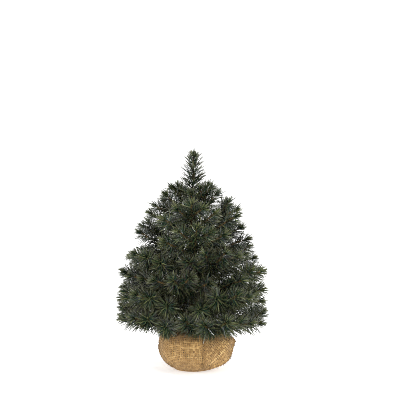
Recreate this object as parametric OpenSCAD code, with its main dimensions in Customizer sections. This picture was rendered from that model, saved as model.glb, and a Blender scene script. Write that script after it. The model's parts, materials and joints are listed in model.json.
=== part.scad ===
// Small artificial tabletop tree. A weighted pot stands in a gathered burlap bag and
// holds a pole. Twisted-wire branches are taped to the pole in tiers, and each one
// bends at its root. Millimetres, +Z up, origin on the ground under the pole.

/* [Crown] */
// Height from the ground to the tip of the leader
tree_height = 450; // [445:1:455]
// Radius of the crown at its widest
crown_radius = 167; // [165:1:168]
// Height of the crown's widest place
crown_waist = 112; // [110:1:114]
// Height from the waist to where the crown's outline closes
crown_rise = 284; // [282:1:287]
// How much neighbouring branches differ, as a share of the usual amount
irregularity = 1; // [0.8:0.05:1.1]

/* [Branches] */
// Diameter of a branch's twisted wire
branch_wire_d = 2.6; // [2.2:0.1:3]
// Diameter of a twig's twisted wire
twig_wire_d = 1.8; // [1.5:0.1:2.2]
// Angle between a twig and its branch
twig_angle = 44; // [43:1:45]
// Length of a twig at its branch's root, as a share of the branch
twig_fullness = 0.95; // [0.92:0.01:0.97]
// How much shorter a twig is at its branch's tip, as a share of the branch
twig_taper = 0.88; // [0.84:0.01:0.92]
// Radius of the dense needles round a branch
branch_needle_r = 5; // [4:0.1:5.2]
// Radius of the dense needles round a twig
twig_needle_r = 4.5; // [4:0.1:4.7]
// Bare wire between the root and the first needles
bare_root = 16; // [14:1:20]
// How far the needles reach past the end of a wire
needle_overrun = 14; // [10:1:16]

/* [Leader] */
// Radius of the dense needles round the leader
leader_needle_r = 8; // [6:0.5:9]
// Height where the leader bends
leader_bend_z = 322; // [320:1:324]

/* [Pole] */
// Diameter of the pole
pole_d = 10; // [9:0.5:10.5]
// Thickness of the tape wound round the pole
tape_thickness = 2.5; // [1.5:0.5:2.5]

/* [Base] */
// Widest diameter of the burlap bag
bag_d = 134; // [130:1:138]
// Diameter of the flat bottom of the bag
bag_foot_d = 76; // [74:1:80]
// Height of the bag's shoulder
bag_shoulder_z = 80; // [78:1:81]
// Thickness of the burlap with its folds
burlap_thickness = 3; // [2.5:0.5:3]
// Diameter of the gathered neck of the bag
neck_d = 30; // [28:1:32]
// How far the loose corner of the burlap stands off to the side
corner_flare = 20; // [18:1:22]

/* [Hidden] */
// Root height, tip height, branches, first direction and twig lift
TIERS = [
    [ 92, 116, 5,  12,   0],
    [118, 165, 5, -59,  -2],
    [148, 203, 4, -14,   4],
    [180, 247, 4, -61,   0],
    [214, 296, 3, 152,  -2],
    [250, 347, 3,  24, -10],
    [286, 384, 2, 147,   0]
];
TIER_COUNT = len(TIERS);
twig_pairs = 2;
twig_first = 0.28;       // where the first pair leaves its branch, as a share of it
twig_step = 0.32;        // from the first pair to the second
twig_stagger = 0.05;     // between the two twigs of a pair

crown_power = 1.8;       // 2 would make the crown's outline an ellipse
golden_step = 137.5;     // degrees from one irregular value to the next
azimuth_spread = 6;      // most that a direction, a tip height and a lift stray
tip_spread = 4;
lift_spread = 5;
reach_spread = 0.02;     // most that a branch's reach strays, as a share of it

knuckle_r = 2;           // bend of a branch's root wire
knuckle_w = 6;
knuckle_gap = 0.3;
collar_h = 8;            // tape that binds a tier's roots to the pole
collar_thickness = 5.5;
hinge_r = pole_d / 2 + collar_thickness;
sleeve_r = pole_d / 2 + tape_thickness;
pole_top = leader_bend_z - 4;
pole_foot = 14;
leader_bare = 18;

bag_foot_round = 44;     // rounding of the bag from its foot to its side
bag_shoulder_round = 18;
neck_flare = 6;          // how the bag's top turns up into its neck
neck_dip = 2;
neck_h = 4;

pot_d = 112;
pot_foot_d = 68;
pot_h = 62;
pot_wall = 1.6;
pot_gap = 0.4;           // room between the pot and the cloth, and the cement and the pot
pot_z = burlap_thickness + pot_gap;
weight_top = pot_z + pot_h - 8;

neck_z = bag_shoulder_z + 5;
tie_d = 3.2;

corner_depth = 28;       // how far the loose corner's folds reach in behind it
corner_top_z = bag_shoulder_z - 6;
corner_end = -6;         // direction where the loose corner ends
corner_sweep = 90;
corner_fold_x = 20;      // its folded edge, its lowest stretch and its frayed edge
corner_tip_x = 42;
corner_low_z = 7;
corner_hem_x = 74;
corner_hem_z = 28;
corner_side_x = 90;
corner_side_z = 58;

$fn = 40;

BRANCHES = [
    for (t = [0 : TIER_COUNT - 1])
        for (i = [0 : TIERS[t][2] - 1])
            str("branch_", t + 1, "_", i + 1)
];

// ---- Crown layout ----

// Radius of the crown's outline at a height
function crown_at(z) =
    crown_radius * sqrt(max(0, 1 - pow(abs(z - crown_waist) / crown_rise, crown_power)));

// A value from -1 to 1 that differs from branch to branch
function vary(t, i, k) = irregularity * sin(golden_step * (5 * t + 3 * i) + 97 * k);

function azimuth(t, i) =
    TIERS[t][3] + 360 * i / TIERS[t][2] + azimuth_spread * vary(t, i, 1);
function tip_z(t, i) = TIERS[t][1] + tip_spread * vary(t, i, 2);
function tip_r(t, i) = crown_at(tip_z(t, i)) * (1 + reach_spread * vary(t, i, 3));
function rise(t, i) = tip_z(t, i) - TIERS[t][0];
function run(t, i) = tip_r(t, i) - hinge_r;
function elevation(t, i) = atan2(rise(t, i), run(t, i));
function reach(t, i) = norm([rise(t, i), run(t, i)]);

// Where along its branch a twig starts, and its length and lift
function twig_share(k, s) = twig_first + twig_step * k + twig_stagger * s;
function twig_reach(t, i, k, s) =
    reach(t, i) * (twig_fullness - twig_taper * twig_share(k, s));
function twig_lift(t, i, k, s) = TIERS[t][4] + lift_spread * vary(t, i, 4 + 2 * k + s);

// Puts its children at a branch's root, with +X along the branch
module at_branch(t, i) {
    rotate([0, 0, azimuth(t, i)])
        translate([hinge_r, 0, TIERS[t][0]])
            rotate([0, -elevation(t, i), 0])
                children();
}

// Puts its children at the start of each twig, with +X along the twig
module at_twig(t, i, k, s) {
    translate([reach(t, i) * twig_share(k, s), 0, 0])
        rotate([0, 0, s * twig_angle])
            rotate([0, -twig_lift(t, i, k, s), 0])
                children();
}

module along_x(start) {
    translate([start, 0, 0])
        rotate([0, 90, 0])
            children();
}

// A round wire from the origin along +X
module wire(length, d) {
    along_x(0)
        cylinder(h = length, d = d);
}

// The dense part of a brush of needles: a spindle along +Z from 0 to length
module brush(length, r) {
    foot = r * 0.5;
    foot_length = r * 1.6;
    tip = r * 0.55;
    rotate_extrude()
        polygon([
            [0, 0],
            [foot, 0],
            [r, foot_length],
            [r, length - r],
            [tip, length],
            [0, length]
        ]);
}

// ---- Base ----

module cement_weight() {
    color("gainsboro")
        difference() {
            translate([0, 0, pot_z + pot_wall])
                cylinder(h = weight_top - pot_z - pot_wall,
                         d1 = pot_foot_d - 2 * pot_wall,
                         d2 = pot_foot_d + (pot_d - pot_foot_d) * (weight_top - pot_z) / pot_h
                              - 2 * pot_wall - pot_gap);
            translate([0, 0, pole_foot])
                cylinder(h = weight_top, d = pole_d);
        }
}

module inner_pot() {
    color("dimgray")
        difference() {
            translate([0, 0, pot_z])
                cylinder(h = pot_h, d1 = pot_foot_d, d2 = pot_d);
            translate([0, 0, pot_z + pot_wall])
                cylinder(h = pot_h,
                         d1 = pot_foot_d - 2 * pot_wall,
                         d2 = pot_d - 2 * pot_wall + (pot_d - pot_foot_d) * pot_wall / pot_h);
        }
}

// Half outline of the bag from the foot up to the neck, inset from its outer face
function bag_outline(inset) = [
    [0, inset],
    [bag_foot_d / 2, inset],
    for (a = [-65 : 13 : 0])
        [bag_d / 2 - bag_foot_round + (bag_foot_round - inset) * cos(a),
         bag_foot_round + (bag_foot_round - inset) * sin(a)],
    for (a = [0 : 15 : 75])
        [bag_d / 2 - bag_shoulder_round + (bag_shoulder_round - inset) * cos(a),
         bag_shoulder_z - bag_shoulder_round + (bag_shoulder_round - inset) * sin(a)],
    [neck_d / 2 + neck_flare - inset, neck_z - neck_dip - inset],
    [neck_d / 2 - inset, neck_z - inset / 2],
    [neck_d / 2 - inset, neck_z + neck_h],
    [0, neck_z + neck_h]
];

module bag_shell() {
    rotate_extrude($fn = 72)
        difference() {
            polygon(bag_outline(0));
            polygon(bag_outline(burlap_thickness));
            square([neck_d / 2 - burlap_thickness, 2 * neck_z]);
        }
    cylinder(h = burlap_thickness, d = neck_d);
}

// The corner of the cloth that hangs loose over the front right of the bag, with the
// folds that fill the space behind it
module loose_corner() {
    difference() {
        intersection() {
            translate([corner_flare, 0, 0])
                rotate([0, 0, corner_end - corner_sweep])
                    rotate_extrude(angle = corner_sweep, $fn = 72)
                        intersection() {
                            polygon(bag_outline(0));
                            translate([bag_d / 2 - corner_depth, 0])
                                square([corner_depth, corner_top_z]);
                        }
            rotate([90, 0, 0])
                linear_extrude(height = 2 * bag_d)
                    polygon([
                        [corner_fold_x, bag_shoulder_z],
                        [corner_fold_x, corner_low_z],
                        [corner_tip_x, corner_low_z],
                        [corner_hem_x, corner_hem_z],
                        [corner_side_x, corner_side_z],
                        [bag_d, corner_side_z],
                        [bag_d, bag_shoulder_z]
                    ]);
        }
        rotate_extrude($fn = 72)
            polygon(bag_outline(burlap_thickness / 2));
    }
}

module burlap_bag() {
    color("peru") {
        bag_shell();
        loose_corner();
    }
}

module jute_tie() {
    color("tan")
        rotate_extrude()
            translate([(neck_d + tie_d) / 2, neck_z + tie_d / 2])
                circle(d = tie_d);
}

// ---- Pole ----

module pole() {
    color("saddlebrown")
        translate([0, 0, pole_foot])
            cylinder(h = pole_top - pole_foot, d = pole_d);
}

// One winding of tape that thickens to a collar under a tier's roots
module tape_collar(t) {
    root_z = TIERS[t][0];
    translate([0, 0, root_z - collar_h])
        cylinder(h = collar_h, r = hinge_r);
    translate([0, 0, root_z - 2 * collar_h])
        cylinder(h = collar_h, r1 = sleeve_r, r2 = hinge_r);
}

// Room in the collars for the bends of the roots
module root_seat(t, i) {
    rotate([0, 0, azimuth(t, i)])
        translate([hinge_r, 0, TIERS[t][0]])
            rotate([90, 0, 0])
                cylinder(h = knuckle_w + 2 * knuckle_gap, r = knuckle_r + knuckle_gap,
                         center = true);
}

module leader_seat() {
    translate([0, 0, leader_bend_z])
        rotate([0, 90, 0])
            cylinder(h = 2 * hinge_r, r = knuckle_r + knuckle_gap, center = true);
}

module pole_tape() {
    tape_foot = TIERS[0][0] - 2 * collar_h;
    color("saddlebrown")
        difference() {
            union() {
                translate([0, 0, tape_foot])
                    cylinder(h = leader_bend_z - tape_foot, r = sleeve_r);
                for (t = [0 : TIER_COUNT - 1])
                    tape_collar(t);
            }
            translate([0, 0, tape_foot - 1])
                cylinder(h = pole_top - tape_foot + 1, d = pole_d);
            for (t = [0 : TIER_COUNT - 1])
                for (i = [0 : TIERS[t][2] - 1])
                    root_seat(t, i);
            leader_seat();
        }
}

// ---- Leader ----

module leader_wire() {
    color("sienna")
        translate([0, 0, leader_bend_z]) {
            rotate([0, 90, 0])
                cylinder(h = knuckle_w, r = knuckle_r, center = true);
            cylinder(h = tree_height - needle_overrun - leader_bend_z, d = branch_wire_d);
        }
}

module leader_needles() {
    color("darkgreen")
        translate([0, 0, leader_bend_z + leader_bare])
            brush(tree_height - leader_bend_z - leader_bare, leader_needle_r);
}

// ---- Branches ----

module branch_wire(t, i) {
    color("sienna")
        at_branch(t, i) {
            rotate([90, 0, 0])
                cylinder(h = knuckle_w, r = knuckle_r, center = true);
            wire(reach(t, i) - needle_overrun, branch_wire_d);
            for (k = [0 : twig_pairs - 1])
                for (s = [-1, 1])
                    at_twig(t, i, k, s)
                        wire(twig_reach(t, i, k, s) - needle_overrun, twig_wire_d);
        }
}

module branch_needles(t, i) {
    // a twig's brush starts where it clears the brush of its branch
    clear = (branch_needle_r + twig_needle_r) / sin(twig_angle);
    color("darkgreen")
        at_branch(t, i) {
            along_x(bare_root)
                brush(reach(t, i) - bare_root, branch_needle_r);
            for (k = [0 : twig_pairs - 1])
                for (s = [-1, 1])
                    at_twig(t, i, k, s)
                        along_x(clear)
                            brush(twig_reach(t, i, k, s) - clear, twig_needle_r);
        }
}

cement_weight();
inner_pot();
burlap_bag();
jute_tie();
pole();
pole_tape();
leader_wire();
leader_needles();
for (t = [0 : TIER_COUNT - 1])
    for (i = [0 : TIERS[t][2] - 1]) {
        name = str("branch_", t + 1, "_", i + 1);
        branch_wire(t, i);
        branch_needles(t, i);
    }
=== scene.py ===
"""Looks for the artificial tabletop tree: needles, twisted wires, tape, burlap, twine and studio."""

import json
import math

import bpy
import numpy as np
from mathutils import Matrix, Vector


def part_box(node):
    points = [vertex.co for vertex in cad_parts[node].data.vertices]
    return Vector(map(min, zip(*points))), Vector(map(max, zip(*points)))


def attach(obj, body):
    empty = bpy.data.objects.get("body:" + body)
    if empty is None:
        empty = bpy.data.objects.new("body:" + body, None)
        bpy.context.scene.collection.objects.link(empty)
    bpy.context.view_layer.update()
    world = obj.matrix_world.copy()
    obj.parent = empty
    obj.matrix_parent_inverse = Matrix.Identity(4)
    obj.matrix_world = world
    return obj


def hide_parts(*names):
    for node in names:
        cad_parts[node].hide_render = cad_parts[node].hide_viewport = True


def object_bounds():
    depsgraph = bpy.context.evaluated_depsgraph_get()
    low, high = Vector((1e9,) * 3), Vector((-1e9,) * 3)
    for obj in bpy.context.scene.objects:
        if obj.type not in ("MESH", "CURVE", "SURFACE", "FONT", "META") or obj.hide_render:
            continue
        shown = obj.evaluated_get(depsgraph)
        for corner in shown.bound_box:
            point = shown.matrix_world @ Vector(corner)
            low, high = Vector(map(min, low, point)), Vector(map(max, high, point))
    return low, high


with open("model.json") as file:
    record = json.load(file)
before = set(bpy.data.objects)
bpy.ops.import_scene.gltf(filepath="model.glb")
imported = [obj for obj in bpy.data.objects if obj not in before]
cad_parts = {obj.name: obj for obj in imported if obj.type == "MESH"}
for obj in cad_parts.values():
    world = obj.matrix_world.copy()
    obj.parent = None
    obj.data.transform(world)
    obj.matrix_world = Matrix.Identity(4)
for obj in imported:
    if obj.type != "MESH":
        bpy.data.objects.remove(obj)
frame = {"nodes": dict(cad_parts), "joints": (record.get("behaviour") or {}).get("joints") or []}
CAD_LOW, CAD_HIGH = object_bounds()
MM = 0.001
TURN = 2 * math.pi
ANY_PHASE = (0, 6.28)             # range of a random phase, in radians
UP = np.array([0.0, 0.0, 1.0])
ASIDE = np.array([1.0, 0.0, 0.0])  # used in place of UP on nearly upright lines
STEEP = 0.95                      # a unit vector's height, past which it is nearly upright
UPRIGHT = 0.98                    # the same for a whole wire

# ---- Sizes, in metres ----

NEEDLE_LENGTH = 28 * MM
NEEDLE_WIDTH = 1.4 * MM
NEEDLE_RIDGE = 0.4 * MM
NEEDLE_RINGS = np.array([0.0, 0.4, 0.75, 1.0])  # where a needle has its cross-sections
NEEDLE_TAPER = np.array([0.75, 1.0, 0.9, 0.35])  # and how wide it is there
NEEDLE_SWEEP = math.radians(61)   # between a needle and its wire
NEEDLE_SPACING = 0.34 * MM        # along the wire, both sides of the foil together
LEADER_SPACING = 0.68 * NEEDLE_SPACING
FOIL_TURN = 7.5 * MM              # wire length in which the foil turns once
CLUMP = 6                         # neighbours on one side that lie nearly parallel
END_NEEDLES = 26                  # needles that close the end of a brush
WIRE_SHORT = 14 * MM              # a brush reaches this far past its wire's end
BRANCH_BARE = 12 * MM             # wire without needles at its root
LEADER_BARE = 10 * MM
TWIG_BARE = 3 * MM
BRANCH_STRAND = 0.62 * MM         # radius of one of the two strands
TWIG_STRAND = 0.5 * MM
STRAND_PITCH = 6.5 * MM
STRAND_STEPS = 8                  # rings per turn of a strand
LOWEST_ROOT = min(joint["pos_m"][2] for joint in frame["joints"])
YARN_PITCH = 3.9 * MM             # burlap weave
YARN_TWIST = 1.5 * MM             # length of one turn of a yarn's fibres
YARN_RADIUS = 0.35 * YARN_PITCH   # half of a yarn's width: jute flattens in the weave
CLOTH_STEP = 0.55 * MM            # grid of the burlap surface
WEAVE_RELIEF = 0.7 * MM
CLOTH_THICK = 1.0 * MM
FOOT_RISE = WEAVE_RELIEF          # the middle of the cloth under the pot, above the floor
LINING_RISE = 0.9 * MM            # least height of the cloth's inner face,
THREAD_RISE = 0.8 * MM            # of loose yarn ends,
FIBRE_RISE = 0.6 * MM             # and of loose fibres
BAKE_MARGIN = 0.01                # left free at the edges of a sheet's bake


# ---- Small helpers ----

def unit(v):
    """Vectors made one long, along the last axis."""
    not_zero = 1e-12
    v = np.asarray(v, float)
    return v / np.maximum(np.linalg.norm(v, axis=-1, keepdims=True), not_zero)


def smooth(low, high, x):
    """0 below low, 1 above high, and an S-curve between."""
    t = np.clip((x - low) / (high - low), 0, 1)
    return t * t * (3 - 2 * t)


def mesh_piece(name, points, faces, material, uv=None, point_values=None, shade_smooth=False):
    """A mesh object from arrays. faces is a list of arrays, each of faces with one number of
    corners. uv gives each point its place in the bake, point_values named numbers."""
    mesh = bpy.data.meshes.new(name)
    points = np.asarray(points, np.float32).reshape(-1, 3)
    corners = np.concatenate([f.reshape(-1) for f in faces]).astype(np.int32)
    sizes = np.concatenate([np.full(len(f), f.shape[1]) for f in faces])
    starts = np.concatenate([[0], np.cumsum(sizes)[:-1]]).astype(np.int32)
    mesh.vertices.add(len(points))
    mesh.vertices.foreach_set("co", points.ravel())
    mesh.loops.add(len(corners))
    mesh.loops.foreach_set("vertex_index", corners)
    mesh.polygons.add(len(sizes))
    mesh.polygons.foreach_set("loop_start", starts)
    mesh.update(calc_edges=True)
    mesh.polygons.foreach_set("use_smooth", np.full(len(sizes), shade_smooth))
    for key, values in (point_values or {}).items():
        layer = mesh.attributes.new(key, "FLOAT", "POINT")
        layer.data.foreach_set("value", np.asarray(values, np.float32).ravel())
    if uv is not None:
        layer = mesh.uv_layers.new(name="OFBake")
        layer.data.foreach_set("uv", np.asarray(uv, np.float32)[corners].ravel())
    mesh.materials.append(material)
    piece = bpy.data.objects.new(name, mesh)
    bpy.context.scene.collection.objects.link(piece)
    return piece


def tube_faces(count, rings, sides):
    """Quads and end caps of count tubes, each with rings rings of sides points."""
    start = np.arange(count)[:, None, None] * rings * sides
    ring = np.arange(rings - 1)[None, :, None] * sides
    side = np.arange(sides)[None, None, :]
    after = (side + 1) % sides
    a, b = start + ring + side, start + ring + after
    quads = np.stack([a, b, b + sides, a + sides], -1).reshape(-1, 4)
    ends = start[:, 0] + np.arange(sides)[None, :]
    caps = np.concatenate([ends[:, ::-1], ends + (rings - 1) * sides])
    return [quads, caps]


def sideways(direction):
    """Unit vectors square to the given ones, and level where those aren't nearly upright."""
    helper = np.where(np.abs(direction[..., 2:3]) > STEEP, ASIDE, UP)
    return unit(np.cross(direction, helper))


def frames_along(points):
    """Unit tangents and two unit normals at each point of one or many lines (..., n, 3)."""
    tangent = unit(np.gradient(points, axis=-2))
    across = sideways(tangent)
    return tangent, across, np.cross(across, tangent)


def tubes(lines, radius, sides):
    """Points and faces of round tubes along lines, an array (count, rings, 3)."""
    lines = np.asarray(lines, float)
    _, across, over = frames_along(lines)
    angle = np.arange(sides) * TURN / sides
    radius = np.broadcast_to(np.asarray(radius, float), lines.shape[:2])[..., None, None]
    ring = across[..., None, :] * np.cos(angle)[:, None] + over[..., None, :] * np.sin(angle)[:, None]
    points = lines[..., None, :] + ring * radius
    return points.reshape(-1, 3), tube_faces(len(lines), lines.shape[1], sides)


def join(parts):
    """One set of points and faces from several."""
    points, faces, first = [], [], 0
    for p, f in parts:
        points.append(p)
        faces += [x + first for x in f]
        first += len(p)
    return np.concatenate(points), faces


# ---- What the frame says ----

def spindles(node):
    """The (start, end) of each convex solid of a needle node along its own axis, longest first.
    Points that share an edge, or lie within a micrometre, belong to one solid."""
    micrometre_digits = 6
    mesh = frame["nodes"][node].data
    co = np.array([v.co for v in mesh.vertices], float)
    rounded, index = np.unique(np.round(co, micrometre_digits), axis=0, return_inverse=True)
    index = index.ravel()
    group = np.arange(len(rounded))
    edges = index[np.array([e.vertices[:] for e in mesh.edges])]
    while True:
        low = np.minimum(group[edges[:, 0]], group[edges[:, 1]])
        before = group.copy()
        np.minimum.at(group, edges[:, 0], low)
        np.minimum.at(group, edges[:, 1], low)
        group = group[group]
        if (group == before).all():
            break
    found = []
    for g in np.unique(group):
        p = rounded[group == g]
        centre = (p.max(0) + p.min(0)) / 2
        axis = np.linalg.svd(p - p.mean(0), full_matrices=False)[2][0]
        along = (p - centre) @ axis
        found.append((centre + axis * along.min(), centre + axis * along.max()))
    return sorted(found, key=lambda s: -np.linalg.norm(s[1] - s[0]))


def closest_share(a, b, p, q):
    """How far along a-b, from 0 to 1, the endless line through p and q comes closest."""
    u, v, w = b - a, q - p, a - p
    uu, uv, vv = u @ u, u @ v, v @ v
    return float((uv * (v @ w) - vv * (u @ w)) / (uu * vv - uv * uv))


class Sprig:
    """The line of one wire: the straight axis that the frame gives, with a sag in its middle and
    a lift at its tip. Its root is bare of needles."""

    def __init__(self, start, end, sag, lift, bare):
        self.start, self.end = start, end
        self.sag, self.lift = sag, lift
        self.bare = bare
        self.is_main = bare > TWIG_BARE
        self.length = float(np.linalg.norm(end - start))
        along = (end - start) / self.length
        self.up = unit(UP - along * (UP @ along))
        if abs(along[2]) > UPRIGHT:
            self.up = ASIDE

    def at(self, t):
        """Points at shares t of the wire."""
        t = np.asarray(t, float)[..., None]
        bow = self.lift * t ** 3 - self.sag * 4 * t * (1 - t)
        return self.start + (self.end - self.start) * t + self.up * bow


def branch_sprigs(joint, rng):
    """The main wire and the twigs of the branch that a joint holds."""
    root = np.array(joint["pos_m"], float)
    found = spindles(joint["child"] + "_needles")
    main, twigs = found[0], found[1:]
    tip = max(main, key=lambda p: np.linalg.norm(p - root))
    heading = unit(tip - root)
    wire_end = tip - heading * WIRE_SHORT
    # the lowest tier sags, most on its right, where its tips hang over the bag
    to_right = heading[0]
    lowest = root[2] < LOWEST_ROOT + 1 * MM
    sag = (5 + 4 * to_right) * MM if lowest else 1.5 * MM
    lift = -5 * to_right if lowest else 0
    sprigs = [Sprig(root, wire_end, sag, (lift + rng.uniform(1, 5)) * MM, BRANCH_BARE)]
    for a, b in twigs:
        share = closest_share(root, tip, a, b)
        foot = root + (tip - root) * share
        far = max((a, b), key=lambda p: np.linalg.norm(p - foot))
        far = far - unit(far - foot) * WIRE_SHORT
        on_main = sprigs[0].at(share * np.linalg.norm(tip - root) / sprigs[0].length)
        twig_lift = (lift + rng.uniform(1, 6)) * MM
        sprigs.append(Sprig(on_main, far, sag - 3 * MM, twig_lift, TWIG_BARE))
    return sprigs


# ---- Materials ----

def new_material(name):
    """An empty principled material: itself, its node tree and its shader."""
    material = bpy.data.materials.new(name)
    material.use_nodes = True
    tree = material.node_tree
    tree.nodes.clear()
    output = tree.nodes.new("ShaderNodeOutputMaterial")
    shader = tree.nodes.new("ShaderNodeBsdfPrincipled")
    tree.links.new(shader.outputs[0], output.inputs[0])
    return material, tree, shader


def attribute(tree, name):
    """A named number of the mesh's points."""
    node = tree.nodes.new("ShaderNodeAttribute")
    node.attribute_name = name
    return node.outputs["Fac"]


def noise(tree, scale, detail, stretch=(1, 1, 1)):
    """Cloudy noise in the piece's own space, scale lumps to a metre."""
    where = tree.nodes.new("ShaderNodeTexCoord")
    mapping = tree.nodes.new("ShaderNodeMapping")
    mapping.inputs["Scale"].default_value = stretch
    node = tree.nodes.new("ShaderNodeTexNoise")
    node.inputs["Scale"].default_value = scale
    node.inputs["Detail"].default_value = detail
    tree.links.new(where.outputs["Object"], mapping.inputs["Vector"])
    tree.links.new(mapping.outputs[0], node.inputs["Vector"])
    return node.outputs["Fac"]


def ramp(tree, factor, *stops):
    """Colours that follow a factor, given as (place, colour) stops."""
    node = tree.nodes.new("ShaderNodeValToRGB")
    while len(node.color_ramp.elements) < len(stops):
        node.color_ramp.elements.new(0.5)
    for element, (place, colour) in zip(node.color_ramp.elements, stops):
        element.position = place
        element.color = (*colour, 1)
    tree.links.new(factor, node.inputs[0])
    return node.outputs[0]


def mixed(tree, factor, a, b, blend="MIX"):
    """Colour a turned into colour b by a factor. Each may be a socket or a constant."""
    node = tree.nodes.new("ShaderNodeMix")
    node.data_type = "RGBA"
    node.blend_type = blend
    for socket, value in ((node.inputs[0], factor), (node.inputs[6], a), (node.inputs[7], b)):
        if isinstance(value, bpy.types.NodeSocket):
            tree.links.new(value, socket)
        elif isinstance(value, tuple):
            socket.default_value = (*value, 1)
        else:
            socket.default_value = value
    return node.outputs[2]


def math_node(tree, operation, a, b=0.0):
    """One operation on two sockets or numbers."""
    node = tree.nodes.new("ShaderNodeMath")
    node.operation = operation
    for socket, value in ((node.inputs[0], a), (node.inputs[1], b)):
        if isinstance(value, bpy.types.NodeSocket):
            tree.links.new(value, socket)
        else:
            socket.default_value = value
    return node.outputs[0]


def bump(tree, shader, height, strength, distance):
    """Fine relief on a shader, distance metres deep."""
    node = tree.nodes.new("ShaderNodeBump")
    node.inputs["Strength"].default_value = strength
    node.inputs["Distance"].default_value = distance
    tree.links.new(height, node.inputs["Height"])
    tree.links.new(node.outputs[0], shader.inputs["Normal"])


def needle_material():
    """Dark green PVC foil that turns olive at the tips, with bluish and browner needles."""
    material, tree, shader = new_material("needle_foil")
    tone = ramp(tree, attribute(tree, "tone"),
                (0.1, (0.007, 0.005, 0.002)), (0.35, (0.002, 0.007, 0.003)),
                (0.5, (0.002, 0.023, 0.016)), (0.66, (0.008, 0.036, 0.011)),
                (0.9, (0.150, 0.165, 0.070)))
    tip = ramp(tree, attribute(tree, "along"), (0.5, (0, 0, 0)), (1.0, (1, 1, 1)))
    olive = mixed(tree, math_node(tree, "MULTIPLY", tip, 0.5), tone, (0.125, 0.122, 0.046))
    foot = ramp(tree, attribute(tree, "along"), (0.02, (1, 1, 1)), (0.16, (0, 0, 0)))
    colour = mixed(tree, math_node(tree, "MULTIPLY", foot, 0.7), olive, (0.24, 0.15, 0.045))
    tree.links.new(colour, shader.inputs["Base Color"])
    # some needles keep the foil's shine, most are duller
    odd = tree.nodes.new("ShaderNodeTexWhiteNoise")
    odd.noise_dimensions = "1D"
    tree.links.new(attribute(tree, "tone"), odd.inputs["W"])
    rough = tree.nodes.new("ShaderNodeMapRange")
    rough.inputs["To Min"].default_value = 0.1
    rough.inputs["To Max"].default_value = 0.5
    tree.links.new(odd.outputs["Value"], rough.inputs["Value"])
    tree.links.new(rough.outputs[0], shader.inputs["Roughness"])
    bump(tree, shader, noise(tree, 900, 3), 0.2, 0.0001)
    shader.inputs["Specular IOR Level"].default_value = 0.6
    return material


def wire_material():
    """Lacquered brown wire with painted yellowish highlights in spots."""
    material, tree, shader = new_material("wire_lacquer")
    # painted highlight: noise spots mix a yellower colour into the brown lacquer
    painted_highlight = ramp(tree, noise(tree, 260, 5), (0.42, (0, 0, 0)), (0.62, (1, 1, 1)))
    base = ramp(tree, noise(tree, 60, 3), (0.3, (0.06, 0.030, 0.012)), (0.7, (0.14, 0.078, 0.030)))
    colour = mixed(tree, math_node(tree, "MULTIPLY", painted_highlight, 0.6), base, (0.34, 0.22, 0.075))
    tree.links.new(colour, shader.inputs["Base Color"])
    shader.inputs["Roughness"].default_value = 0.42
    shader.inputs["Metallic"].default_value = 0.15
    bump(tree, shader, noise(tree, 1500, 2), 0.25, 0.0001)
    return material


def tape_material():
    """Crinkled brown paper tape."""
    material, tree, shader = new_material("paper_tape")
    blotch = noise(tree, 90, 5)
    fibre = noise(tree, 1400, 4, (1, 1, 0.2))
    base = ramp(tree, blotch, (0.3, (0.055, 0.030, 0.014)), (0.7, (0.12, 0.068, 0.032)))
    fibrous = mixed(tree, fibre, base, (0.17, 0.11, 0.055))
    colour = mixed(tree, 0.4, base, fibrous)
    tree.links.new(colour, shader.inputs["Base Color"])
    shader.inputs["Roughness"].default_value = 0.85
    bump(tree, shader, fibre, 0.5, 0.0003)
    return material


def burlap_material():
    """Golden jute: painted shade in the gaps between yarns, yarns that differ in tone, and fibres that
    wind round each yarn.
    """
    material, tree, shader = new_material("jute_weave")
    tone = ramp(tree, attribute(tree, "tone"),
                (0.1, (0.19, 0.098, 0.028)), (0.5, (0.52, 0.315, 0.108)),
                (0.9, (0.90, 0.64, 0.285)))
    phase = math_node(tree, "MULTIPLY", attribute(tree, "twist"), TURN)
    wound = math_node(tree, "SINE", phase)
    furrow = math_node(tree, "MULTIPLY_ADD", wound, 0.5)
    furrow.node.inputs[2].default_value = 0.5
    fibre = noise(tree, 2200, 5)
    streak = math_node(tree, "MULTIPLY", math_node(tree, "MULTIPLY", fibre, furrow), 0.8)
    streaked = mixed(tree, streak, tone, (0.16, 0.08, 0.026))
    patch = ramp(tree, noise(tree, 28, 4), (0.35, (0.80, 0.76, 0.72)), (0.7, (1.08, 1.05, 1.0)))
    aged = mixed(tree, 1.0, streaked, patch, "MULTIPLY")
    # painted shade: the holes between the yarns are painted dark brown
    colour = mixed(tree, attribute(tree, "gap"), aged, (0.055, 0.024, 0.006))
    tree.links.new(colour, shader.inputs["Base Color"])
    shader.inputs["Roughness"].default_value = 0.92
    shader.inputs["Sheen Weight"].default_value = 0.15
    shader.inputs["Sheen Roughness"].default_value = 0.6
    height = math_node(tree, "SUBTRACT", fibre, furrow)
    bump(tree, shader, height, 0.6, 0.0003)
    return material


def cement_material():
    """Cast grey cement with sand grains and pits."""
    material, tree, shader = new_material("cast_cement")
    grain = noise(tree, 1500, 6)
    cloud = ramp(tree, noise(tree, 45, 5), (0.3, (0.36, 0.35, 0.33)), (0.7, (0.56, 0.55, 0.52)))
    colour = mixed(tree, math_node(tree, "MULTIPLY", grain, 0.5), cloud, (0.2, 0.2, 0.19))
    tree.links.new(colour, shader.inputs["Base Color"])
    shader.inputs["Roughness"].default_value = 0.95
    bump(tree, shader, grain, 0.6, 0.0006)
    return material


def pot_material():
    """Thin black moulded plastic with scuffs."""
    material, tree, shader = new_material("black_plastic")
    cloud = noise(tree, 70, 6, (1, 1, 3))
    scuff = ramp(tree, cloud, (0.45, (0.012, 0.012, 0.013)), (0.75, (0.04, 0.04, 0.04)))
    tree.links.new(scuff, shader.inputs["Base Color"])
    shader.inputs["Roughness"].default_value = 0.5
    bump(tree, shader, noise(tree, 600, 2), 0.15, 0.0002)
    return material


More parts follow.
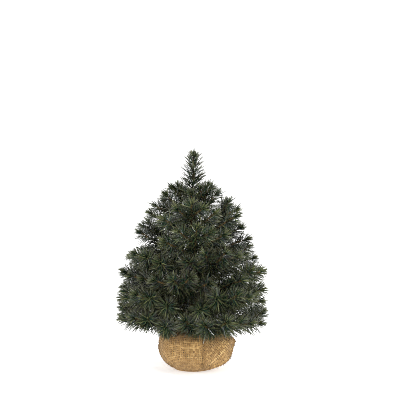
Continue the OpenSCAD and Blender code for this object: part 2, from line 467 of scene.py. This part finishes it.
def wood_material():
    """Pale dowel with its grain along the pole."""
    material, tree, shader = new_material("dowel_wood")
    grain = noise(tree, 400, 6, (1, 1, 0.04))
    colour = ramp(tree, grain, (0.3, (0.27, 0.15, 0.065)), (0.55, (0.42, 0.27, 0.13)),
                  (0.8, (0.52, 0.36, 0.19)))
    tree.links.new(colour, shader.inputs["Base Color"])
    shader.inputs["Roughness"].default_value = 0.7
    bump(tree, shader, grain, 0.4, 0.0003)
    return material


# ---- Needles and wires ----

def needle_places(sprig, rng, leader):
    """Where each needle leaves its wire: the share along the wire, the angle round it, the sweep
    away from it, how near its tip it is, and its tone. The foil is a strip cut into needles on
    both sides and caught in the twist, so needles come off in two turning rows. On the leader
    they come off all round, in no order."""
    clump_turn, needle_turn = 0.38, 0.13  # scatter round the wire, in radians
    clump_sweep, needle_sweep = 10, 4  # scatter away from it, in degrees
    clump_tone, needle_tone = 0.2, 0.8  # shares of each in a needle's tone
    tip_reach, tip_closing = 14 * MM, 0.3
    spacing = LEADER_SPACING if leader else NEEDLE_SPACING
    count = int((sprig.length - sprig.bare) / spacing)
    k = np.arange(count)
    along = sprig.bare + (k + rng.uniform(0, 1, count)) * spacing
    clump = 2 * (k // (2 * CLUMP)) + k % 2
    clumps = clump.max() + 1
    turn = (TURN * along / FOIL_TURN + math.pi * (k % 2) + rng.uniform(*ANY_PHASE)
            + rng.normal(0, clump_turn, clumps)[clump] + rng.normal(0, needle_turn, count))
    sweep = NEEDLE_SWEEP + np.radians(rng.normal(0, clump_sweep, clumps)[clump]
                                      + rng.normal(0, needle_sweep, count))
    if sprig.is_main:
        # near the pole the needles lean back, and hide it
        root_sweep, root_reach = math.radians(50), 24 * MM
        sweep = sweep + root_sweep * (1 - smooth(sprig.bare, sprig.bare + root_reach, along))
    tip = smooth(sprig.length - tip_reach, sprig.length, along)
    sweep = sweep * (1 - tip_closing * tip)
    tone = (clump_tone * rng.beta(2, 2.4, clumps)[clump]
            + needle_tone * rng.beta(1.2, 1.5, count))
    # the last needles close the end of the brush
    along = np.append(along, sprig.length - rng.uniform(0, 4, END_NEEDLES) * MM)
    turn = np.append(turn, rng.uniform(0, TURN, END_NEEDLES))
    sweep = np.append(sweep, np.radians(rng.uniform(5, 52, END_NEEDLES)))
    tip = np.append(tip, np.ones(END_NEEDLES))
    tone = np.append(tone, rng.uniform(0.3, 1, END_NEEDLES))
    share = np.clip(along / sprig.length, sprig.bare / sprig.length, 1)
    if leader:
        foot_sweep, less_at_top = 1.18, 0.33
        turn = rng.uniform(0, TURN, len(share))
        sweep = sweep * (foot_sweep - less_at_top * share)
    return share, turn, sweep, tip, tone


def needle_stretch(sprig, share, leader):
    """How much longer than usual needles are: most at the leader's foot and near the pole."""
    if leader:
        foot_stretch, less_at_top = 1.5, 0.55
        return foot_stretch - less_at_top * share
    if sprig.is_main:
        root_stretch, root_reach = 0.35, 50 * MM
        return 1 + root_stretch - root_stretch * smooth(0, root_reach, share * sprig.length)
    return 1


def needle_arrays(sprig, rng, leader):
    """Points of one wire's needles (needles, rings, 3 corners, 3), and the needles' tones."""
    share, turn, sweep, tip, tone = needle_places(sprig, rng, leader)
    n = len(share)
    step = 0.004  # the wire's direction is read over twice this share
    here = sprig.at(share)
    ahead = np.minimum(share + step, 1)
    tangent = unit(sprig.at(ahead) - sprig.at(ahead - 2 * step))
    side = sideways(tangent)
    over = np.cross(side, tangent)
    out = side * np.cos(turn)[:, None] + over * np.sin(turn)[:, None]
    length = NEEDLE_LENGTH * rng.uniform(0.85, 1.08, n) * (1 - rng.uniform(0.2, 0.55, n) * tip)
    length = length * needle_stretch(sprig, share, leader)
    # the foil curls to its tip, droops a little and twists
    curl = np.radians(rng.normal(-10, 6, n))
    centre = [here]
    for low, high in zip(NEEDLE_RINGS[:-1], NEEDLE_RINGS[1:]):
        angle = sweep + curl * (low + high) * 0.8
        direction = tangent * np.cos(angle)[:, None] + out * np.sin(angle)[:, None]
        centre.append(centre[-1] + direction * (length * (high - low))[:, None])
    centre = np.stack(centre, 1)
    centre[..., 2] -= NEEDLE_RINGS ** 2 * rng.uniform(0, 4, n)[:, None] * MM
    heading = unit(np.gradient(centre, axis=1))
    flat = unit(np.cross(heading, out[:, None, :]))
    raised = np.cross(flat, heading)
    twist = rng.uniform(-0.8, 0.8, n)[:, None, None]
    wide = flat * np.cos(twist) + raised * np.sin(twist)
    ridge = raised * np.cos(twist) - flat * np.sin(twist)
    widest = (0.65 if leader else 0.5) * NEEDLE_WIDTH
    half = widest * rng.uniform(0.85, 1.15, n)[:, None, None] * NEEDLE_TAPER[:, None]
    high = NEEDLE_RIDGE * NEEDLE_TAPER[:, None]
    return np.stack([centre - wide * half, centre + wide * half, centre + ridge * high], 2), tone


def needle_piece(name, sprigs, rng, material, leader):
    """All the needles of a branch, each a thin closed three-sided blade, as one piece."""
    made = [needle_arrays(s, rng, leader) for s in sprigs]
    corners = np.concatenate([c for c, _ in made])
    branch_tone = rng.uniform(-0.12, 0.12)
    tone = np.clip(np.concatenate([t for _, t in made]) + branch_tone, 0, 1)
    count, rings, sides = corners.shape[:3]
    along = np.broadcast_to(NEEDLE_RINGS[None, :, None], (count, rings, sides)).ravel()
    tones = np.repeat(tone, rings * sides)
    # each needle has its own small cell of the bake
    cells = math.ceil(math.sqrt(count))
    column, row = np.arange(count) % cells, np.arange(count) // cells
    corner_places, margin = np.array([0.25, 0.75, 0.5]), 0.1
    u = (column[:, None, None] + corner_places[None, None, :]) / cells
    v = (row[:, None, None] + margin + (1 - 2 * margin) * NEEDLE_RINGS[None, :, None]) / cells
    u, v = np.broadcast_arrays(u, v)
    return mesh_piece(name, corners, tube_faces(count, rings, sides), material,
                      np.stack([u.ravel(), v.ravel()], -1), {"tone": tones, "along": along})


def strand_lines(sprig, radius, phase):
    """The two strands of a twisted wire, as two lines that press into each other."""
    pressed = 0.95
    turns = sprig.length / STRAND_PITCH
    t = np.linspace(0, 1, max(6, int(turns * STRAND_STEPS)))
    line = sprig.at(t)
    _, side, over = frames_along(line)
    lines = []
    for start in (0, math.pi):
        angle = (TURN * turns * t + phase + start)[:, None]
        lines.append(line + (side * np.cos(angle) + over * np.sin(angle)) * radius * pressed)
    return np.stack(lines)


def wire_piece(name, sprigs, rng, material, knuckle):
    """The twisted pair of wires of each sprig, and the round bend at the root."""
    parts = []
    for sprig in sprigs:
        radius = BRANCH_STRAND if sprig.is_main else TWIG_STRAND
        phase = rng.uniform(*ANY_PHASE)
        parts.append(tubes(strand_lines(sprig, radius, phase), radius, sides=5))
    parts.append(knuckle)
    points, faces = join(parts)
    return mesh_piece(name, points, faces, material, shade_smooth=True)


def root_knuckle(joint):
    """The root wire's bend, a short coil round the hinge's line."""
    coil_radius, coil_width = 1.25 * MM, 5.0 * MM
    turns, steps = 3.6, 46
    centre = np.array(joint["pos_m"], float)
    axis = unit(joint["axis"])
    side = sideways(axis)
    over = np.cross(axis, side)
    t = np.linspace(0, 1, steps)
    angle = (TURN * turns * t)[:, None]
    line = (centre + axis * ((t - 0.5) * coil_width)[:, None]
            + (side * np.cos(angle) + over * np.sin(angle)) * coil_radius)
    return tubes(line[None], BRANCH_STRAND, sides=6)


def make_branches(needles, wire):
    """The brush and the wires of each branch and of the leader. Both ride on its body."""
    for number, joint in enumerate(frame["joints"]):
        rng = np.random.default_rng(100 + number)
        body = joint["child"]
        leader = body == "leader"
        if leader:
            root = np.array(joint["pos_m"], float)
            top = np.array(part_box("leader_needles")[1])
            tip = np.array([root[0], root[1], top[2] - WIRE_SHORT])
            sprigs = [Sprig(root, tip, 0.0, 1.5 * MM, LEADER_BARE)]
        else:
            sprigs = branch_sprigs(joint, rng)
        brush = needle_piece(body + "_foil", sprigs, rng, needles, leader)
        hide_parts(body + "_needles")
        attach(brush, body)
        core = wire_piece(body + "_twist", sprigs, rng, wire, root_knuckle(joint))
        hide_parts(body + "_wire")
        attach(core, body)


# ---- Pole tape ----

def make_tape(material):
    """Tape wound up the pole, one edge over the other, thicker where it binds a tier's roots."""
    winding, lap = 5.5 * MM, 0.35 * MM  # height of a turn, thickness of its edge
    rise, around = 0.6 * MM, 64  # between rings of points, points in a ring
    low, high = (np.array(c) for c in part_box("pole_tape"))
    collar = high[0]
    sleeve = collar - 3.0 * MM
    z = np.arange(low[2], high[2], rise)
    angle = np.arange(around) * TURN / around
    radius = np.full(len(z), sleeve)
    heights = sorted({round(j["pos_m"][2], 4) for j in frame["joints"]})
    tiers = heights[:-1]  # the highest joint is the leader's
    for h in tiers:
        bulge = smooth(h - 16 * MM, h - 7 * MM, z) * (1 - smooth(h - 1.2 * MM, h, z))
        radius = np.maximum(radius, sleeve + (collar - sleeve - lap) * bulge)
    wound = ((z[:, None] / winding) - angle[None, :] / TURN) % 1.0
    crinkle = np.random.default_rng(7).normal(0, 0.05 * MM, wound.shape)
    r = radius[:, None] - lap * 0.5 + lap * wound + crinkle
    height = np.broadcast_to(z[:, None], r.shape)
    points = np.stack([r * np.cos(angle), r * np.sin(angle), height], -1)
    piece = mesh_piece("pole_tape_wound", points, tube_faces(1, len(z), around), material,
                       shade_smooth=True)
    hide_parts("pole_tape")
    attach(piece, "base")


# ---- Burlap ----

def pick(number, seed):
    """An unordered value from 0 to 1 for each whole number."""
    return np.sin(number * 12.9898 + seed * 7.233) * 43758.5453 % 1.0


def yarn_height(number, off, place, over, gone, seed):
    """Height of the yarns of one direction. number counts them, off and place are where a point
    lies across and along its crossing, over is 1 where the yarn is on top there and -1 where it
    isn't, and gone is the distance along the yarn."""
    below = -0.7  # where there is no yarn
    # a few yarns are thin, and all differ in width, swell here and there, and wander
    thin = np.where(pick(number, seed + 2) > 0.86, 0.55, 1.0)
    slub = 1 + 0.2 * np.sin(TURN * (gone / (6.3 * YARN_PITCH) + pick(number, seed + 6)))
    half = YARN_RADIUS / YARN_PITCH * (0.84 + 0.3 * pick(number, seed)) * thin * slub
    off = off + 0.09 * np.sin(TURN * (gone / (4.7 * YARN_PITCH) + pick(number, seed + 4)))
    rounded = np.sqrt(np.clip(1 - (off / half) ** 2, 0, 1))
    crown = 0.65 * rounded + 0.35 * over * np.cos(math.pi * place)
    return np.where(np.abs(off) < half, crown, below)


def weave(a, b):
    """Height of a plain weave above the cloth's middle, for cloth coordinates a and b in metres,
    and what its material reads: gap from 0 to 1, the painted shade of the holes between the
    yarns, tone of the yarn, and the place on the yarn's own twist, in turns."""
    i, j = np.floor(a / YARN_PITCH), np.floor(b / YARN_PITCH)
    across = a / YARN_PITCH - i - 0.5
    along = b / YARN_PITCH - j - 0.5
    over = np.where((i + j) % 2 == 0, 1.0, -1.0)
    warp = yarn_height(i, across, along, over, b, 1)
    weft = yarn_height(j, along, across, -over, a, 5)
    on_warp = warp > weft
    height = np.maximum(warp, weft)
    # painted shade: the lower the weave lies, the darker its gap is painted
    gap = np.clip((0.25 - height) / 0.5, 0, 1)
    yarn_tone = np.where(on_warp, pick(i, 9), pick(j, 3))
    crossing_tone = pick(i + 57 * j, 11)
    tone = 0.25 + 0.2 * yarn_tone + 0.35 * crossing_tone
    slant = 0.8 * YARN_PITCH  # how far the twist leans over a yarn's width
    twist = np.where(on_warp, b + slant * across, a + slant * along) / YARN_TWIST
    return height, {"gap": gap, "tone": tone, "twist": twist}


def grid_faces(rows, columns, closed=False):
    """Quads of a grid of points, row by row. closed joins the last column to the first."""
    r = np.arange(rows - 1)[:, None] * columns
    c = np.arange(columns if closed else columns - 1)[None, :]
    after = (c + 1) % columns
    return np.stack([r + c, r + columns + c, r + columns + after, r + after], -1).reshape(-1, 4)


def woven(surface, cloth_a, cloth_b, outward=1, closed=False):
    """The points of a sheet with its weave pushed out of it, its normals, and what its material
    reads. surface is a grid of points (rows, columns, 3)."""
    down = np.gradient(surface, axis=0)
    if closed:
        wrapped = np.concatenate([surface[:, -1:], surface, surface[:, :1]], 1)
        across = np.gradient(wrapped, axis=1)[:, 1:-1]
    else:
        across = np.gradient(surface, axis=1)
    normal = unit(np.cross(across, down)) * outward
    height, values = weave(cloth_a, cloth_b)
    return surface + normal * (height * WEAVE_RELIEF)[..., None], normal, values


def bag_profile():
    """The bag's outline from the middle of its foot to its neck, in small steps: the distance
    along the cloth, the radius and the height at each."""
    low, _ = (np.array(c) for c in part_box("burlap_bag"))
    tie_low, tie_high = (np.array(c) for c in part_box("jute_tie"))
    side = -low[0]
    neck = tie_high[0] - (tie_high[2] - tie_low[2])
    shoulder = tie_low[2] - 5 * MM
    foot_round, top_round = 44 * MM, 20 * MM
    foot = side - foot_round
    foot_arc = np.radians(np.arange(-66, 1, 6))
    top_arc = np.radians(np.arange(0, 81, 6))
    flat = foot + foot_round * math.cos(foot_arc[0]) - 3 * MM
    outline = [(0, FOOT_RISE), (flat / 2, FOOT_RISE), (flat, FOOT_RISE)]
    outline += [(foot + foot_round * math.cos(a), FOOT_RISE + foot_round + foot_round * math.sin(a))
                for a in foot_arc]
    outline += [(side - top_round * (1 - math.cos(a)), shoulder - top_round + top_round * math.sin(a))
                for a in top_arc]
    outline += [(neck + 14 * MM, shoulder + 2.5 * MM), (neck + 4 * MM, tie_low[2] - 0.5 * MM),
                (neck, tie_low[2] + 1.2 * MM), (neck, tie_high[2])]
    outline = np.array(outline)
    gone = np.concatenate([[0], np.cumsum(np.linalg.norm(np.diff(outline, axis=0), axis=1))])
    steps = np.linspace(0, gone[-1], int(gone[-1] / CLOTH_STEP))
    r = np.interp(steps, gone, outline[:, 0])
    z = np.interp(steps, gone, outline[:, 1])
    rounding_passes = 12
    for _ in range(rounding_passes):
        r[1:-1] = (r[:-2] + 2 * r[1:-1] + r[2:]) / 4
        z[1:-1] = (z[:-2] + 2 * z[1:-1] + z[2:]) / 4
    return steps, r, z


def pleats(angle, rng):
    """Folds of the gathered cloth, which goes in at each and out a little on both sides."""
    count = 15
    narrow, beside, wide = 0.07, 0.17, 0.1  # radians round the bag
    where = (np.arange(count) + rng.uniform(-0.28, 0.28, count)) * TURN / count
    depth = rng.uniform(0.5, 1.0, count)
    fold = np.zeros(len(angle))
    for at, deep in zip(where, depth):
        away = (angle - at + math.pi) % TURN - math.pi
        fold -= deep * np.exp(-(away / narrow) ** 2)
        fold += 0.25 * deep * np.exp(-((np.abs(away) - beside) / wide) ** 2)
    return fold


def bag_surface(angle, rng):
    """The middle of the bag's cloth, a grid of points in rows from the foot to the neck. Folds
    deepen towards the neck, the wall is a little slack, and the foot is round and flat."""
    steps, r, z = bag_profile()
    share = steps / steps[-1]
    fold = pleats(angle, rng)
    fold_depth, fold_lift, wall_fold, wall_slack = 4.2 * MM, 1.6 * MM, 0.7 * MM, 1.2 * MM
    slack = sum(rng.uniform(0.3, 1.0) * np.sin(waves * angle + rng.uniform(*ANY_PHASE))
                for waves in (2, 3, 5, 7)) / 2.5
    top = smooth(0.44, 0.85, share)
    neck = 1 - 0.75 * smooth(0.93, 1.0, share)
    wall = smooth(0.22, 0.4, share) * (1 - smooth(0.62, 0.8, share))
    gathered = (top * neck)[:, None] * fold[None, :]
    push = (gathered * fold_depth + wall[:, None] * slack[None, :] * wall_slack
            + wall[:, None] * fold[None, :] * wall_fold)
    radius = np.maximum(r[:, None] + push, 0.2 * MM)
    foot_rows = len(steps) // 8
    radius[:foot_rows] = r[:foot_rows, None]
    lift = gathered * fold_lift
    return np.stack([radius * np.cos(angle), radius * np.sin(angle), z[:, None] + lift], -1)


def lined_faces(rows, columns, inner_rows, coarse):
    """Faces of the bag's cloth: its outer grid, its coarser inner one, the rim between them at
    the neck, and their ends under the foot."""
    few = columns // coarse
    first = rows * columns
    last = first + (inner_rows - 1) * few
    # the rim joins each stretch of the inner face to its points on the outer
    k = np.arange(few)[:, None]
    rim = np.concatenate([(rows - 1) * columns + (k * coarse + np.arange(coarse + 1)) % columns,
                          last + (k + 1) % few, last + k], 1)
    return [grid_faces(rows, columns, True)[:, ::-1], grid_faces(inner_rows, few, True) + first,
            rim[:, ::-1], np.arange(columns)[None, ::-1], first + np.arange(few)[None, :]]


def make_bag(material):
    """The square of burlap gathered up round the pot, with folds that deepen to the neck."""
    steps, r, z = bag_profile()
    coarse = 8  # the hidden inner face has one point for so many
    columns = coarse * round(TURN * r.max() / CLOTH_STEP / coarse)
    angle = np.arange(columns) * TURN / columns
    surface = bag_surface(angle, np.random.default_rng(21))
    # the cloth lies straight up the wall: a whole even number of yarns goes round it
    yarns = 2 * round(math.pi * r.max() / YARN_PITCH)
    round_bag, up_bag = np.meshgrid(angle / TURN * yarns * YARN_PITCH, steps)
    outer, normal, values = woven(surface, round_bag, up_bag, closed=True)
    # painted shade: the cloth's tone is darkened close under the branches, where their shadow falls
    painted_shade_low, painted_shade_high = 58 * MM, 80 * MM
    values["tone"] = values["tone"] * (1 - 0.35 * smooth(painted_shade_low, painted_shade_high, z))[:, None]
    rows = len(steps)
    kept = np.append(np.arange(0, rows - 1, coarse), rows - 1)
    inner = (surface - normal * CLOTH_THICK)[kept][:, ::coarse]
    inner[..., 2] = np.maximum(inner[..., 2], LINING_RISE)
    values = {key: np.append(value, value[kept][:, ::coarse]) for key, value in values.items()}
    u, v = np.meshgrid(np.linspace(BAKE_MARGIN, 1 - BAKE_MARGIN, columns),
                       np.linspace(BAKE_MARGIN, 1 - BAKE_MARGIN, rows))
    flat = np.stack([u, v], -1)
    points = np.concatenate([outer.reshape(-1, 3), inner.reshape(-1, 3)])
    bake = np.concatenate([flat.reshape(-1, 2), flat[kept][:, ::coarse].reshape(-1, 2)])
    faces = lined_faces(rows, columns, len(kept), coarse)
    return mesh_piece("burlap_cloth", points, faces, material, bake, values, shade_smooth=True)


def corner_edge(u, a, foot, climb):
    """Height of a corner's ragged lower edge, which climbs at the fold and at the frayed end. u is
    the share of its breadth from the fold, and a the distance."""
    climbs_from, fold_to, fold_climb = 0.4, 0.3, 9 * MM
    ragged = 0.9 * MM * np.sin(a / (2.3 * MM)) + 0.6 * MM * np.sin(a / (0.95 * MM) + 1.3)
    low = foot + climb * np.clip((u - climbs_from) / (1 - climbs_from), 0, 1) ** 1.9 + ragged
    return low + fold_climb * np.clip(1 - u / fold_to, 0, 1) ** 2


def corner_gap(u, a, share, height, low, top, flare, seed):
    """How far a corner stands off the bag: round at its fold, flared to its frayed edge, drawn in
    at the top, turned out at the hem and wavy. share is 0 at the top and 1 at the lower edge."""
    roll_radius, least, top_reach, hem_reach = 6 * MM, 0.6 * MM, 22 * MM, 9 * MM
    roll = np.sqrt(np.clip(1 - np.clip(1 - a / roll_radius, 0, 1) ** 2, 0, 1))
    gap = least + (0.8 * MM + 0.08 * flare) * roll + flare * u ** 1.3 * (1 - 0.25 * share)
    drawn_in = 1 - 0.85 * np.clip(1 - (top - height) / top_reach, 0, 1) ** 1.5
    hem = (1 * MM + 0.12 * flare) * np.clip(1 - (1 - share) * (top - low) / hem_reach, 0, 1) ** 2
    waves = (1.5 * MM * np.sin(a / (8.5 * MM) + 0.8 + 0.9 * share + seed) * smooth(0, 0.35, share)
             + 0.7 * MM * np.sin(height / (8 * MM) + a / (13 * MM) + seed))
    wavy = min(1.0, 0.4 + flare / (20 * MM))
    return gap * drawn_in + hem * roll + waves * roll * wavy


def make_corner(name, material, fold, width, turn, flare, climb, seed):
    """A loose corner of the cloth that hangs from the bag's shoulder. fold is the direction of
    its folded edge and width its breadth, in radians; turn is 1 when its frayed edge is
    anticlockwise of the fold and -1 when clockwise. flare is how far the frayed edge stands off
    the bag, and climb how far it rises. Gives the piece and the cloth's points and normals."""
    _, r, z = bag_profile()
    reach = r.max() + flare / 2
    top = z.max() - 10 * MM
    foot = 8 * MM
    columns = int(width * reach / CLOTH_STEP)
    rows = int((top - foot) / CLOTH_STEP)
    u = np.linspace(0, 1, columns)[None, :]
    share = np.linspace(0, 1, rows)[:, None]
    a = u * width * reach
    low = corner_edge(u, a, foot, climb)
    height = top + (low - top) * share
    radius = np.interp(height, z, r) + corner_gap(u, a, share, height, low, top, flare, seed)
    wander = 0.05 * np.sin(height / (11 * MM) + seed) + 1.6 * (height - top / 2)
    angle = fold + turn * (width * u + wander * (1 - u))
    surface = np.stack([radius * np.cos(angle), radius * np.sin(angle), height], -1)
    # its yarns lie on the diagonal
    slant = math.radians(45)
    cloth_a = a * math.cos(slant) - height * math.sin(slant)
    cloth_b = a * math.sin(slant) + height * math.cos(slant)
    points, normal, values = woven(surface, cloth_a, cloth_b, outward=turn)
    if flare > 10 * MM:
        # the one that stands off has painted shade in the crease by its fold, and one paler yarn
        crease_at, crease_width = 4 * MM, 4 * MM
        painted_crease_shade = np.exp(-((a - crease_at) / crease_width) ** 2)
        # painted shade: the tone is darkened in a band along the fold's crease
        values["tone"] = values["tone"] * (1 - 0.35 * painted_crease_shade)
        paler = (np.floor(cloth_a / YARN_PITCH) == 0) & (np.abs(height - 33 * MM) < 15 * MM)
        values["tone"] = np.where(paler, 1.0, values["tone"])
    bake = np.stack(np.broadcast_arrays(BAKE_MARGIN + (1 - 2 * BAKE_MARGIN) * u,
                                        BAKE_MARGIN + (1 - 2 * BAKE_MARGIN) * share), -1)
    piece = mesh_piece(name, points, [grid_faces(rows, columns)], material, bake.reshape(-1, 2),
                       values, shade_smooth=True)
    return piece, surface, normal


def thread_values(count, tone):
    """What the burlap's material reads on loose threads."""
    return {"gap": np.zeros(count), "tone": tone, "twist": np.zeros(count)}


def fringe_piece(name, surface, normal, rng, material):
    """Yarn ends that stick out past the frayed edge, and fine fibres between them."""
    every = 2.6 * MM  # between yarn ends
    rows_in = 14  # the direction out of the cloth is read over so many rows
    rings, sides = 7, 5
    edge, inner = surface[-1], surface[-rows_in]
    gone = np.concatenate([[0], np.cumsum(np.linalg.norm(np.diff(edge, axis=0), axis=1))])
    count = int(gone[-1] / every)
    place = np.arange(count) * every + rng.uniform(0, every, count)
    k = np.interp(place, gone, np.arange(len(edge))).astype(int)
    out = unit(edge[k] - inner[k])
    along = unit(np.gradient(edge, axis=0))[k]
    off = normal[-1][k]
    start = edge[k] - out * 1.2 * MM
    t = np.linspace(0, 1, rings)
    parts = []
    for thick, long, spread in ((0.9 * MM, 7.5 * MM, 0.3), (0.25 * MM, 9 * MM, 0.8)):
        length = long * rng.uniform(0.35, 1.0, count)
        lean = rng.normal(0, spread, count)[:, None]
        rise = rng.normal(0.7, spread * 0.6, count)[:, None]
        aim = unit(out + along * lean + off * rise)
        curl = unit(along * rng.normal(0, 1, count)[:, None] + off * rng.normal(0, 1, count)[:, None])
        lines = (start[:, None] + aim[:, None] * (length[:, None] * t)[..., None]
                 + curl[:, None] * (length[:, None] * 0.35 * t ** 2)[..., None])
        lines[..., 2] = np.maximum(lines[..., 2], THREAD_RISE)
        parts.append(tubes(lines, thick * (1 - 0.5 * t)[None, :], sides))
    points, faces = join(parts)
    n = len(points)
    thread = rings * sides
    tone = np.repeat(rng.uniform(0.1, 0.8, n // thread + 1), thread)[:n]
    return mesh_piece(name, points, faces, material, None, thread_values(n, tone), shade_smooth=True)


def fuzz_piece(name, surface, normal, rng, material, count):
    """Loose jute fibres standing off the cloth."""
    rings, sides = 7, 4
    rows, columns = surface.shape[:2]
    i, j = rng.integers(rows // 5, rows - 3, count), rng.integers(0, columns, count)
    start, out = surface[i, j], normal[i, j]
    other = unit(np.cross(out, rng.normal(0, 1, (count, 3))))
    length = rng.uniform(2, 6, count)[:, None, None] * MM
    t = np.linspace(0, 1, rings)[None, :, None]
    lean = rng.uniform(0.4, 1.6, count)[:, None, None]
    lines = start[:, None] + length * (out[:, None] * t * (1.1 - 0.5 * t * lean)
                                       + other[:, None] * t ** 1.4 * lean * 0.8)
    lines[..., 2] = np.maximum(lines[..., 2], FIBRE_RISE)
    points, faces = tubes(lines, 0.09 * MM * (1 - 0.4 * t[..., 0]), sides)
    n = len(points)
    tone = np.repeat(rng.uniform(0.4, 1, n // sides + 1), sides)[:n]
    return mesh_piece(name, points, faces, material, None, thread_values(n, tone), shade_smooth=True)


def round_bag_points():
    """Points on the bag without its folds, and its normals there, for the loose fibres."""
    _, r, z = bag_profile()
    around = 200
    angle = np.arange(around) * TURN / around
    bag = np.stack([r[:, None] * np.cos(angle), r[:, None] * np.sin(angle), z[:, None] + 0 * angle], -1)
    tilt = unit(np.stack([np.gradient(z), -np.gradient(r)], -1))
    normal = np.stack([tilt[:, :1] * np.cos(angle), tilt[:, :1] * np.sin(angle),
                       tilt[:, 1:] + 0 * angle], -1)
    return bag, normal


def make_burlap(material):
    """The bag, its loose fibres, and its four loose corners with their frayed edges."""
    cloth = make_bag(material)
    bag, bag_normal = round_bag_points()
    fuzz = fuzz_piece("burlap_fibres", bag, bag_normal, np.random.default_rng(5), material, 1500)
    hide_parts("burlap_bag")
    pieces = [cloth, fuzz]
    # fold and width in degrees, side of the frayed edge, flare and climb in mm, seed
    corners = (("front_right", -74, 66, 1, 21, 55, 31), ("front_left", -137, 50, -1, 2, 46, 37),
               ("back_right", 38, 58, 1, 4, 50, 41), ("back_left", 145, 52, -1, 5, 46, 43))
    for where, fold, width, turn, flare, climb, seed in corners:
        corner, surface, normal = make_corner(
            "burlap_corner_" + where, material, math.radians(fold), math.radians(width), turn,
            flare * MM, climb * MM, seed)
        fringe = fringe_piece("burlap_fringe_" + where, surface, normal,
                              np.random.default_rng(seed), material)
        pieces += [corner, fringe]
    for piece in pieces:
        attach(piece, "base")


def make_twine(material):
    """Two turns of two-ply jute twine round the neck."""
    turns, twists, steps = 2, 46, 320
    ply_radius, ply_off = 0.42 * MM, 0.38 * MM  # of a ply, and of its way round the twine
    low, high = (np.array(c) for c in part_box("jute_tie"))
    thick = high[2] - low[2]
    ring = high[0] - thick / 2
    t = np.linspace(0, 1, steps)
    angle = TURN * turns * t
    height = low[2] + thick * (0.25 + 0.5 * t)
    centre = np.stack([ring * np.cos(angle), ring * np.sin(angle), height], -1)
    outward = np.stack([np.cos(angle), np.sin(angle), 0 * angle], -1)
    plies = []
    for start in (0, math.pi):
        ply = (TURN * twists * t + start)[:, None]
        plies.append(centre + (outward * np.cos(ply) + UP * np.sin(ply)) * ply_off)
    points, faces = tubes(np.stack(plies), ply_radius, sides=6)
    n = len(points)
    values = thread_values(n, np.full(n, 0.6))
    piece = mesh_piece("jute_twine", points, faces, material, None, values, shade_smooth=True)
    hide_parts("jute_tie")
    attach(piece, "base")


# ---- Pieces that come straight from the frame ----

def give(node, material):
    """A material for a CAD node that stays as it is."""
    solid = frame["nodes"][node]
    if not solid.material_slots:
        solid.data.materials.append(material)
    for slot in solid.material_slots:
        slot.material = material


# ---- Studio ----

def make_sweep():
    """A pale paper floor that bends up into a wall and glows a little, to come out white."""
    width, depth, wall, bend = 8.0, 4.0, 4.0, 1.2
    arc = np.radians(np.arange(0, 91, 6))
    line = [(-depth, 0.0)] + [(depth - bend + bend * math.sin(a), bend - bend * math.cos(a)) for a in arc]
    line += [(depth, wall)]
    points = [(x, y, z) for y, z in line for x in (-width / 2, width / 2)]
    faces = np.array([[2 * k, 2 * k + 1, 2 * k + 3, 2 * k + 2] for k in range(len(line) - 1)])
    material, _, shader = new_material("paper_sweep")
    shader.inputs["Base Color"].default_value = (0.75, 0.75, 0.75, 1)
    shader.inputs["Roughness"].default_value = 0.9
    shader.inputs["Emission Color"].default_value = (1, 1, 1, 1)
    shader.inputs["Emission Strength"].default_value = 0.55
    sweep = mesh_piece("studio_sweep", points, [faces], material, shade_smooth=True)


def make_light():
    """White light from all round, two soft lamps in front and one above."""
    world = bpy.data.worlds.new("studio_air")
    bpy.context.scene.world = world
    world.use_nodes = True
    air = world.node_tree.nodes["Background"]
    air.inputs["Color"].default_value = (1, 1, 1, 1)
    air.inputs["Strength"].default_value = 1.0
    middle = (CAD_LOW + CAD_HIGH) / 2
    for name, place, size, power in (
        ("key_light", (-0.8, -1.2, 2.1), 0.6, 42),
        ("fill_light", (1.3, -1.3, 1.6), 0.8, 14),
        ("top_light", (0.1, 0.3, 2.0), 1.2, 16),
    ):
        lamp = bpy.data.lights.new(name, "AREA")
        lamp.size = size
        lamp.energy = power
        light = bpy.data.objects.new(name, lamp)
        light.location = place
        light.rotation_mode = "QUATERNION"
        light.rotation_quaternion = (middle - Vector(place)).to_track_quat("-Z", "Y")
        bpy.context.scene.collection.objects.link(light)


def make_camera():
    """A long lens a little above the tree's middle, aimed so that the tree stands low in the
    picture, as in the photo."""
    tree_share = 0.548  # the tree's height as a share of the picture's
    aim_right, aim_up = 0.0175, 0.1475  # from the tree's middle, in pictures
    elevation = math.radians(6)
    data = bpy.data.cameras.new("view_camera")
    data.lens, data.sensor_width = 85, 36
    camera = bpy.data.objects.new("view_camera", data)
    tall = CAD_HIGH.z - CAD_LOW.z
    picture = tall / tree_share
    distance = picture * data.lens / data.sensor_width
    middle = Vector((0, 0, tall / 2))
    camera.location = middle + Vector((0, -math.cos(elevation), math.sin(elevation))) * distance
    aim = middle + Vector((aim_right, 0, aim_up)) * picture
    camera.rotation_mode = "QUATERNION"
    camera.rotation_quaternion = (aim - camera.location).to_track_quat("-Z", "Y")
    bpy.context.scene.collection.objects.link(camera)
    bpy.context.scene.camera = camera


def set_picture():
    """Plain colours, and thin needles and yarns kept sharp."""
    scene = bpy.context.scene
    scene.view_settings.view_transform = "Standard"
    scene.cycles.filter_width = 1.0
    scene.cycles.denoising_prefilter = "NONE"


set_picture()
make_camera()
make_sweep()
make_light()
needle_foil, wire_lacquer, jute = needle_material(), wire_material(), burlap_material()
make_branches(needle_foil, wire_lacquer)
make_tape(tape_material())
make_burlap(jute)
make_twine(jute)
give("cement_weight", cement_material())
give("inner_pot", pot_material())
give("pole", wood_material())
